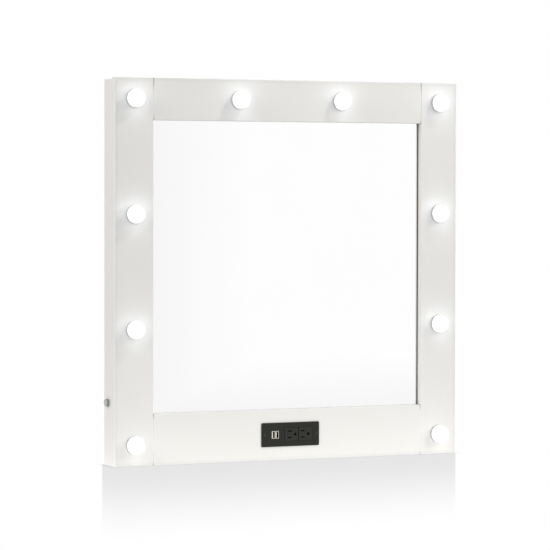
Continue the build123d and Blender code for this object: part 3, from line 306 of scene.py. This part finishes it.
def bare_wood(name, light, dark, axis, scale=1.0):
    """Unfinished wood with its grain along axis. A larger scale gives finer grain."""
    m = Mat(name)
    along = m.stretched(axis, 0.06)
    warp = m.noise(scale=30.0 * scale, detail=2.0, vector=along, out="Color")
    offset = m.vector("MULTIPLY", warp, (0.03, 0.03, 0.03)).outputs[0]
    bent = m.vector("ADD", along, offset).outputs[0]
    rings = m.node("ShaderNodeTexWave", {
        "Vector": bent, "Scale": 55.0 * scale, "Distortion": 3.0, "Detail": 2.0},
        wave_type="RINGS", rings_direction=axis).outputs["Fac"]
    fibre = m.noise(scale=1600.0 * scale, rough=0.6, vector=along)
    color = m.mix(rings, light, dark)
    color = m.mix(m.remap(fibre, (0.35, 0.65), (0.0, 0.4)), color, shade(dark, 0.7))
    return m.finish(base=color, rough=m.spread(fibre, 0.55, 0.75),
                    normal=m.bump(m.add(rings, fibre), strength=0.3, distance=0.0002))


def mirror():
    """Glass with a silver coat behind. Near the edge of the opening a slanting look passes through
    the glass to under the lip of the boards; that shade is painted as a dark rim."""
    m = Mat("mirror_silvered_glass")
    x, y, z = m.xyz()
    normal_y = m.xyz(m.geometry("True Normal"))[1]
    look_x, look_y, look_z = m.xyz(m.geometry("Incoming"))
    glass_lo, glass_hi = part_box("mirror_glass")

    # where the look lands after 5.4 mm of depth, with the vertical shift cut to a tenth
    travel = m.math("DIVIDE", 0.0054, m.math("MAXIMUM", m.absolute(look_y), 0.2))
    x_out = m.sub(x, m.mul(look_x, travel))
    z_out = m.sub(z, m.mul(look_z, m.mul(travel, 0.1)))
    beyond_z = m.add(m.below(z_out, OPENING_FOOT), m.above(z_out, OPENING_TOP))
    under_lip = m.math("ADD", m.above(m.absolute(x_out), OPENING_HALF - 0.0003), beyond_z,
                       clamp=True)
    is_face = m.mul(m.above(m.absolute(normal_y), 0.5), m.below(y, (glass_lo.y + glass_hi.y) / 2))
    # the silver is left off under the lip: a painted dark rim of shade
    silver_mask_with_painted_rim = m.mul(is_face, m.sub(1.0, m.mul(under_lip, 0.93)))

    wave = m.noise(scale=2.2, detail=1.0, rough=0.4)
    haze = m.noise(scale=7.0, detail=5.0, rough=0.65)
    dust = m.noise(scale=900.0, detail=2.0)
    silver = m.mix(m.remap(haze, (0.35, 0.7)), (0.900, 0.904, 0.900), (0.888, 0.892, 0.889))
    silver = m.mix(m.remap(dust, (0.62, 0.78), (0.0, 0.10)), silver, (0.80, 0.80, 0.80))
    # painted shade in the reflection, darker towards the -X side and the foot
    reflection_shade = m.math("MAXIMUM", m.remap(x, (-0.29, -0.08), (1.0, 0.0)),
                  m.remap(z, (0.10, 0.20), (1.0, 0.0)))
    silver = m.tint(silver, reflection_shade, 0.75, to=(0.815, 0.817, 0.815))
    bare_glass = (0.035, 0.048, 0.043)
    rough = m.add(m.remap(haze, (0.3, 0.75), (0.004, 0.016)), m.mul(m.sub(1.0, is_face), 0.25))
    return m.finish(base=m.mix(silver_mask_with_painted_rim, bare_glass, silver), metal=silver_mask_with_painted_rim, rough=rough,
                    ior=1.52, normal=m.bump(wave, strength=0.04, distance=0.00005))


def backing():
    """Brown hardboard that lies flat against the back of the mirror."""
    m = Mat("backing_hardboard")
    fleck = m.noise(scale=520.0, detail=5.0, rough=0.7)
    cloud = m.noise(scale=12.0)
    color = m.ramp(fleck, [
        (0.30, (0.10, 0.062, 0.035)), (0.55, (0.20, 0.125, 0.07)), (1.0, (0.27, 0.18, 0.11))])
    color = m.mix(m.spread(cloud, high=0.4), color, (0.13, 0.085, 0.05))
    return m.finish(base=color, rough=m.spread(fleck, 0.5, 0.7),
                    normal=m.bump(fleck, strength=0.3, distance=0.0002))


def globe():
    """Lit milky diffuser: brightest where it faces out, softer towards the rim. The camera sees
    a mild glow, and all other rays meet the lamp's real output."""
    m = Mat("globe_milky_lit")
    facing = m.node("ShaderNodeLayerWeight", {"Blend": 0.35}).outputs["Facing"]
    cloud = m.noise(scale=260.0)
    seen = m.ray("Is Camera Ray")
    rim = m.remap(facing, (0.50, 0.72))
    glow = m.mul(m.remap(rim, (0.0, 1.0), (0.42, 0.02)), m.spread(cloud, 0.985, 1.015))
    hue = m.mix(seen, (0.81, 0.885, 1.0), (1.0, 1.0, 1.0))
    # the lower lamps give less light
    output = m.remap(m.xyz()[2], (0.04, 0.26), (1.40, 3.90))
    skin = m.mix(rim, (0.86, 0.86, 0.85), (0.60, 0.60, 0.60))
    skin = m.mix(seen, (0.25, 0.25, 0.25), skin)
    satin = m.noise(scale=1500.0, detail=2.0)
    return m.finish(base=skin, rough=m.spread(cloud, 0.28, 0.36),
                    normal=m.bump(satin, strength=0.08, distance=0.0001),
                    emit=hue, emit_strength=m.pick(seen, output, glow),
                    sss=0.2, sss_radius=(0.01, 0.01, 0.01), sss_scale=0.3)


def lamp_base():
    """Moulded collar and neck, with a threaded nickel cap and a dark band near its tip behind. The
    white collar is greyed with painted shade.
    """
    m = Mat("lamp_base_moulded")
    y = m.xyz()[1]
    grain = m.noise(scale=1900.0, rough=0.6)
    cloud = m.noise(scale=120.0)
    # the collar is white plastic; its grey tone here is painted shade
    moulded = m.mix(m.spread(cloud), (0.45, 0.455, 0.455), (0.50, 0.505, 0.505))
    moulded = m.tint(moulded, m.edges(radius=0.0006), 0.35, to=(0.56, 0.565, 0.565))
    thread = m.node("ShaderNodeTexWave", {"Vector": m.coord, "Scale": 180.0, "Distortion": 0.0},
                    bands_direction="Y", wave_profile="SIN").outputs["Fac"]
    nickel = m.mix(m.spread(cloud), (0.60, 0.58, 0.53), (0.72, 0.70, 0.65))
    is_cap = m.above(y, FRONT_Y + 0.0139)
    is_band = m.between(y, FRONT_Y + 0.0298, FRONT_Y + 0.0331)
    is_metal = m.mul(is_cap, m.sub(1.0, is_band))
    color = m.mix(is_band, m.mix(is_cap, moulded, nickel), (0.05, 0.045, 0.04))
    rough = m.add(m.spread(grain, 0.36, 0.48), m.mul(is_metal, -0.14))
    height = m.add(m.mul(grain, 0.2), m.mul(m.mul(thread, is_metal), 2.5))
    # the front of the collar passes on some lamp light, unseen by the camera
    unseen_glow = m.pick(m.ray("Is Camera Ray"), 0.70, 0.0)
    return m.finish(base=color, metal=is_metal, rough=rough,
                    normal=m.bump(height, strength=0.5, distance=0.00022),
                    emit=(0.95, 0.98, 1.0),
                    emit_strength=m.mul(unseen_glow, m.below(y, FRONT_Y + 0.0005)))


def plastic(name, base, rough=0.45, grain=1400.0, bump=0.18, spec=0.5, edge_gain=1.5,
            variation=0.10, mouth_y=None, crevice_shade_amount=0.5):
    """Spark-textured moulded plastic with slightly burnished edges and painted shade in its
    crevices.
    """
    m = Mat(name)
    texture = m.noise(scale=grain, detail=4.0, rough=0.65)
    cloud = m.noise(scale=45.0, detail=4.0, rough=0.55)
    color = m.mix(m.spread(cloud), shade(base, 1 - variation), shade(base, 1 + variation))
    color = m.tint(color, m.edges(radius=0.0007), 0.6, to=shade(base, edge_gain))
    # painted shade darkens the crevices
    color = m.tint(color, m.crevice(0.0022, (0.45, 0.92)), crevice_shade_amount, to=shade(base, 0.12))
    if mouth_y is not None:
        # painted shade behind the socket's mouth
        color = m.shade_behind_mouth(color, shade(base, 0.04), mouth_y, depth=0.0018)
    roughness = m.add(m.spread(texture, rough - 0.05, rough + 0.08),
                      m.spread(cloud, -0.03, 0.03))
    return m.finish(base=color, rough=roughness, spec=spec,
                    normal=m.bump(texture, strength=bump, distance=0.00015))


def metal(name, base, rough=0.3, brushed=None, bump=0.12, mouth_y=None):
    """Plated or satin metal, brushed along an axis or "turned" in rings about the dimmer's axis."""
    m = Mat(name)
    grain = 900.0
    cloud = m.noise(scale=140.0, detail=4.0, rough=0.6)
    if brushed == "turned":
        x, y, z = m.xyz(m.vector("ADD", m.coord, (0.0, -KNOB_Y, -KNOB_Z)).outputs[0])
        radius = m.math("SQRT", m.add(m.mul(y, y), m.mul(z, z)))
        rings = m.node("ShaderNodeCombineXYZ", {"X": radius, "Y": x, "Z": 0.0}).outputs[0]
        texture = m.noise(scale=grain * 4, detail=2.0, rough=0.6, vector=rings)
    elif brushed:
        texture = m.noise(scale=grain * 3, rough=0.6, vector=m.stretched(brushed, 0.02))
    else:
        texture = m.noise(scale=grain, detail=4.0, rough=0.6)
    color = m.mix(m.spread(cloud), shade(base, 0.92), shade(base, 1.08))
    # painted shade darkens the crevices
    color = m.tint(color, m.crevice(0.002), 0.6, to=shade(base, 0.25))
    if mouth_y is not None:
        # painted shade behind the socket's mouth
        color = m.shade_behind_mouth(color, shade(base, 0.03), mouth_y, depth=0.0022)
    roughness = m.add(m.spread(texture, rough - 0.07, rough + 0.1), m.spread(cloud, -0.03, 0.04))
    return m.finish(base=color, metal=1.0, rough=roughness,
                    normal=m.bump(texture, strength=bump, distance=0.0001))


def circuit():
    """Green circuit board with paler tracks."""
    m = Mat("circuit_board")
    tracks = m.node("ShaderNodeTexBrick", {
        "Vector": m.stretched("X", 1.0), "Scale": 260.0, "Mortar Size": 0.03,
        "Color1": (0.02, 0.16, 0.06), "Color2": (0.03, 0.20, 0.08), "Mortar": (0.08, 0.30, 0.14)})
    sheen = m.noise(scale=800.0)
    return m.finish(base=tracks.outputs["Color"], rough=m.spread(sheen, 0.3, 0.45),
                    normal=m.bump(tracks.outputs["Fac"], strength=0.3, distance=0.0001))


def cable():
    """Pale cable jacket, a little dusty."""
    m = Mat("cable_jacket")
    grain = m.noise(scale=1100.0, rough=0.6)
    dust = m.noise(scale=35.0, detail=4.0, rough=0.6)
    color = m.mix(m.remap(dust, (0.35, 0.7)), (0.74, 0.74, 0.72), (0.60, 0.60, 0.58))
    return m.finish(base=color, rough=m.spread(grain, 0.42, 0.58),
                    normal=m.bump(grain, strength=0.15, distance=0.0001))


materials = {
    "stile": lacquer("lacquer_stile", "Z", joints=True),
    "rail": lacquer("lacquer_rail", "X", joints=True),
    "side": lacquer("lacquer_side", "Z"),
    "panel": lacquer("lacquer_panel", "X"),
    "hardboard": hardboard_white(),
    "dowel": bare_wood("beech_dowel", light=(0.62, 0.44, 0.27), dark=(0.50, 0.33, 0.19),
                       axis="Z", scale=1.5),
    "block": bare_wood("pine_block", light=(0.66, 0.50, 0.31), dark=(0.50, 0.34, 0.18), axis="X"),
    "backing": backing(),
    "mirror": mirror(),
    "globe": globe(),
    "lamp_base": lamp_base(),
    "socket": plastic("socket_plastic", (0.02, 0.02, 0.02), rough=0.4),
    "brass": metal("stamped_brass", (0.78, 0.58, 0.28), rough=0.28, brushed="Y"),
    "dull_brass": metal("tarnished_brass", (0.16, 0.115, 0.055), rough=0.42, brushed="Y"),
    "zinc": metal("zinc_plate", (0.60, 0.61, 0.62)),
    "clip": metal("zinc_clip", (0.58, 0.59, 0.60), rough=0.34, brushed="X"),
    "knob": metal("knob_satin", (0.43, 0.43, 0.42), rough=0.34, brushed="turned", bump=0.25),
    "shaft": metal("turned_steel", (0.52, 0.52, 0.52), brushed="turned", bump=0.2),
    "dimmer": plastic("dimmer_case", (0.03, 0.03, 0.035), rough=0.4),
    "charcoal": plastic("charcoal_textured", (0.0092, 0.0098, 0.0068), rough=0.50, grain=1100.0,
                        bump=0.25, spec=0.30, edge_gain=1.35, variation=0.14, crevice_shade_amount=0.9),
    "insert": plastic("charcoal_satin", (0.0116, 0.0124, 0.0090), rough=0.42, grain=1700.0,
                      bump=0.12, spec=0.32, edge_gain=1.25, variation=0.12, crevice_shade_amount=0.9),
    "black": plastic("black_moulded", (0.010, 0.010, 0.010), rough=0.42),
    "cream": plastic("cream_moulded", (0.78, 0.76, 0.66), rough=0.40, grain=1500.0, bump=0.12,
                     edge_gain=1.05, variation=0.03, mouth_y=-0.03095),
    "usb_metal": metal("nickel_shell", (0.88, 0.86, 0.76), rough=0.34, brushed="Z",
                       mouth_y=-0.03235),
    "circuit": circuit(),
    "driver": plastic("driver_case_white", (0.72, 0.72, 0.70), rough=0.42, edge_gain=1.05,
                      variation=0.03),
    "dark_screw": metal("black_nickel", (0.062, 0.062, 0.058), rough=0.24),
    "cable": cable(),
}
# material: the pieces that wear it; the lamps' many pieces go by the ends of their names
PIECES = {
    "stile": "left_stile right_stile",
    "rail": "top_rail bottom_rail",
    "side": "left_side_panel right_side_panel",
    "panel": "top_panel bottom_panel",
    "hardboard": "back_panel",
    "dowel": "dowels",
    "block": "hanger_blocks",
    "backing": "mirror_backing",
    "mirror": "mirror_glass",
    "socket": "lamp_sockets",
    "brass": "lamp_socket_contacts mains_inlet_pins",
    "dull_brass": "outlet_contacts",
    "zinc": "back_panel_screws mirror_clip_screws lamp_socket_screws driver_screws hanger_screws",
    "clip": "mirror_clips hanger_plates",
    "knob": "dimmer_knob",
    "shaft": "dimmer_shaft dimmer_nut dimmer_washer",
    "dimmer": "dimmer_body",
    "charcoal": "power_faceplate",
    "insert": "outlet_faces",
    "black": "power_housing mains_inlet",
    "cream": "usb_tongues",
    "usb_metal": "usb_shells",
    "circuit": "usb_board",
    "driver": "driver_case driver_cover",
    "dark_screw": "power_screws",
    "cable": "cables",
}
material_of = {piece: key for key, pieces in PIECES.items() for piece in pieces.split()}
for name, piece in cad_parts.items():
    lamp_part = "globe" if name.endswith("_globe") else "lamp_base"
    piece.data.materials.clear()
    piece.data.materials.append(materials[material_of.get(name, lamp_part)])

# ---------------------------------------------------------------------------
# stage: pale floor with a painted reflection and contact shadow, fading into a white surround
# ---------------------------------------------------------------------------
FOOT_HALF_X, FOOT_HALF_Y = 0.371, 0.030     # the object's footprint
MIRRORED_WHITE = 1.10                       # floor and surround as seen in reflections


def slab(m, start, direction, half):
    """Distances along a ray at which it enters and leaves the slab from -half to half."""
    a = m.math("DIVIDE", m.sub(-half, start), direction)
    b = m.math("DIVIDE", m.sub(half, start), direction)
    return m.math("MINIMUM", a, b), m.math("MAXIMUM", a, b)


def floor_material():
    m = Mat("stage_floor")
    x, y, _ = m.xyz()
    # distance from the footprint
    gap_x = m.math("MAXIMUM", m.sub(m.absolute(x), FOOT_HALF_X), 0.0)
    gap_y = m.math("MAXIMUM", m.sub(m.absolute(y), FOOT_HALF_Y), 0.0)
    gap = m.math("SQRT", m.add(m.mul(gap_x, gap_x), m.mul(gap_y, gap_y)))

    # a faint painted reflection: follow the view on and see how far off it meets the footprint
    onward = m.vector("MULTIPLY", m.geometry("Incoming"), (-1.0, -1.0, 0.0)).outputs[0]
    ray_x, ray_y, _ = m.xyz(m.vector("NORMALIZE", onward).outputs[0])
    x_in, x_out = slab(m, x, ray_x, FOOT_HALF_X)
    y_in, y_out = slab(m, y, ray_y, FOOT_HALF_Y)
    enter = m.math("MAXIMUM", x_in, y_in)
    leave = m.math("MINIMUM", x_out, y_out)
    hit = m.mul(m.above(leave, enter), m.above(leave, 0.0))
    fade = m.node("ShaderNodeMapRange", {
        "Value": m.math("MAXIMUM", enter, 0.0), "From Min": 0.05, "From Max": 1.32,
        "To Min": 0.207, "To Max": 0.0}, interpolation_type="SMOOTHSTEP").outputs["Result"]
    # painted contact shadow close around the footprint
    contact_shadow = m.remap(gap, (0.0, 0.018), (0.10, 0.0))
    tone = m.sub(m.sub(1.0, m.mul(hit, fade)), contact_shadow)
    tone = m.mul(tone, m.spread(m.noise(scale=60.0), 0.998, 1.002))

    emission = "ShaderNodeEmission"
    seen = m.light(emission, tone)
    # light thrown back on the object, strongest close to it
    near = m.mul(m.remap(gap, (0.05, 0.95), (1.23, 0.26)),
                 m.remap(gap_x, (0.0, 0.12), (1.0, 0.62)))
    bounce = m.light(emission, near, color=(1, 0.995, 0.985))
    mirrored = m.light(emission, MIRRORED_WHITE)
    path = m.node("ShaderNodeLightPath").outputs
    other = m.mix_shader(path["Is Camera Ray"], mirrored, seen)
    m.surface(m.mix_shader(path["Is Diffuse Ray"], other, bounce))
    return m.material


bpy.ops.mesh.primitive_plane_add(size=60.0, location=(0, 0, 0))
floor = bpy.context.object
floor.name = "stage_floor"
floor.data.materials.append(floor_material())

# surround: white to the camera, brighter in reflections, softer as light
world = bpy.data.worlds.new("surround")
scene.world = world
world.use_nodes = True
sky = Graph(world.node_tree, "ShaderNodeOutputWorld")
path = sky.node("ShaderNodeLightPath").outputs
sky_seen, sky_mirrored, sky_light = (
    sky.light("ShaderNodeBackground", strength) for strength in (1.0, MIRRORED_WHITE, 0.553))
other = sky.mix_shader(path["Is Camera Ray"], sky_mirrored, sky_seen)
sky.surface(sky.mix_shader(path["Is Diffuse Ray"], other, sky_light))


def area(name, location, target, size, power, spread=180.0):
    """Square area light aimed at target, hidden from the camera and from reflections."""
    light = bpy.data.lights.new(name, "AREA")
    light.spread = math.radians(spread)
    light.shape = "RECTANGLE"
    light.size = light.size_y = size
    light.energy = power
    lamp = bpy.data.objects.new(name, light)
    scene.collection.objects.link(lamp)
    lamp.location = location
    lamp.rotation_mode = "QUATERNION"
    lamp.rotation_quaternion = (Vector(target) - Vector(location)).to_track_quat("-Z", "Y")
    lamp.visible_camera = False
    lamp.visible_glossy = False


area("key", (1.08, -0.95, 2.20), target=(-0.18, 0.0, 0.66), size=0.22, power=1.12, spread=50.0)
area("fill_right", (1.9, -1.6, 1.2), target=(0.35, 0.0, 0.35), size=1.6, power=29.5)
area("fill_left", (-2.7, -0.6, 1.7), target=(-0.35, 0.0, 0.45), size=1.6, power=34.5)
area("fill_back", (0.7, 2.9, 1.7), target=(0.0, 0.0, 0.40), size=1.8, power=22.0)

# ---------------------------------------------------------------------------
# camera: in front and to the -X side; yaw turns it from +Y towards +X
# ---------------------------------------------------------------------------
camera_data = bpy.data.cameras.new("camera")
camera = bpy.data.objects.new("camera", camera_data)
scene.collection.objects.link(camera)
scene.camera = camera
camera_data.sensor_width = 36.0
camera_data.lens = 195.075
camera_data.clip_start, camera_data.clip_end = 0.1, 100.0
position = Vector((-2.5697, -5.2371, 0.5285))
yaw, pitch, roll = (math.radians(angle) for angle in (25.977, -1.654, 0.106))
forward = Vector((math.sin(yaw) * math.cos(pitch), math.cos(yaw) * math.cos(pitch),
                  math.sin(pitch)))
level_right = Vector((math.cos(yaw), -math.sin(yaw), 0.0))
level_up = level_right.cross(forward)
right = math.cos(roll) * level_right + math.sin(roll) * level_up
up = -math.sin(roll) * level_right + math.cos(roll) * level_up
axes = Matrix((right, up, -forward)).transposed()
camera.matrix_world = Matrix.Translation(position) @ axes.to_4x4()
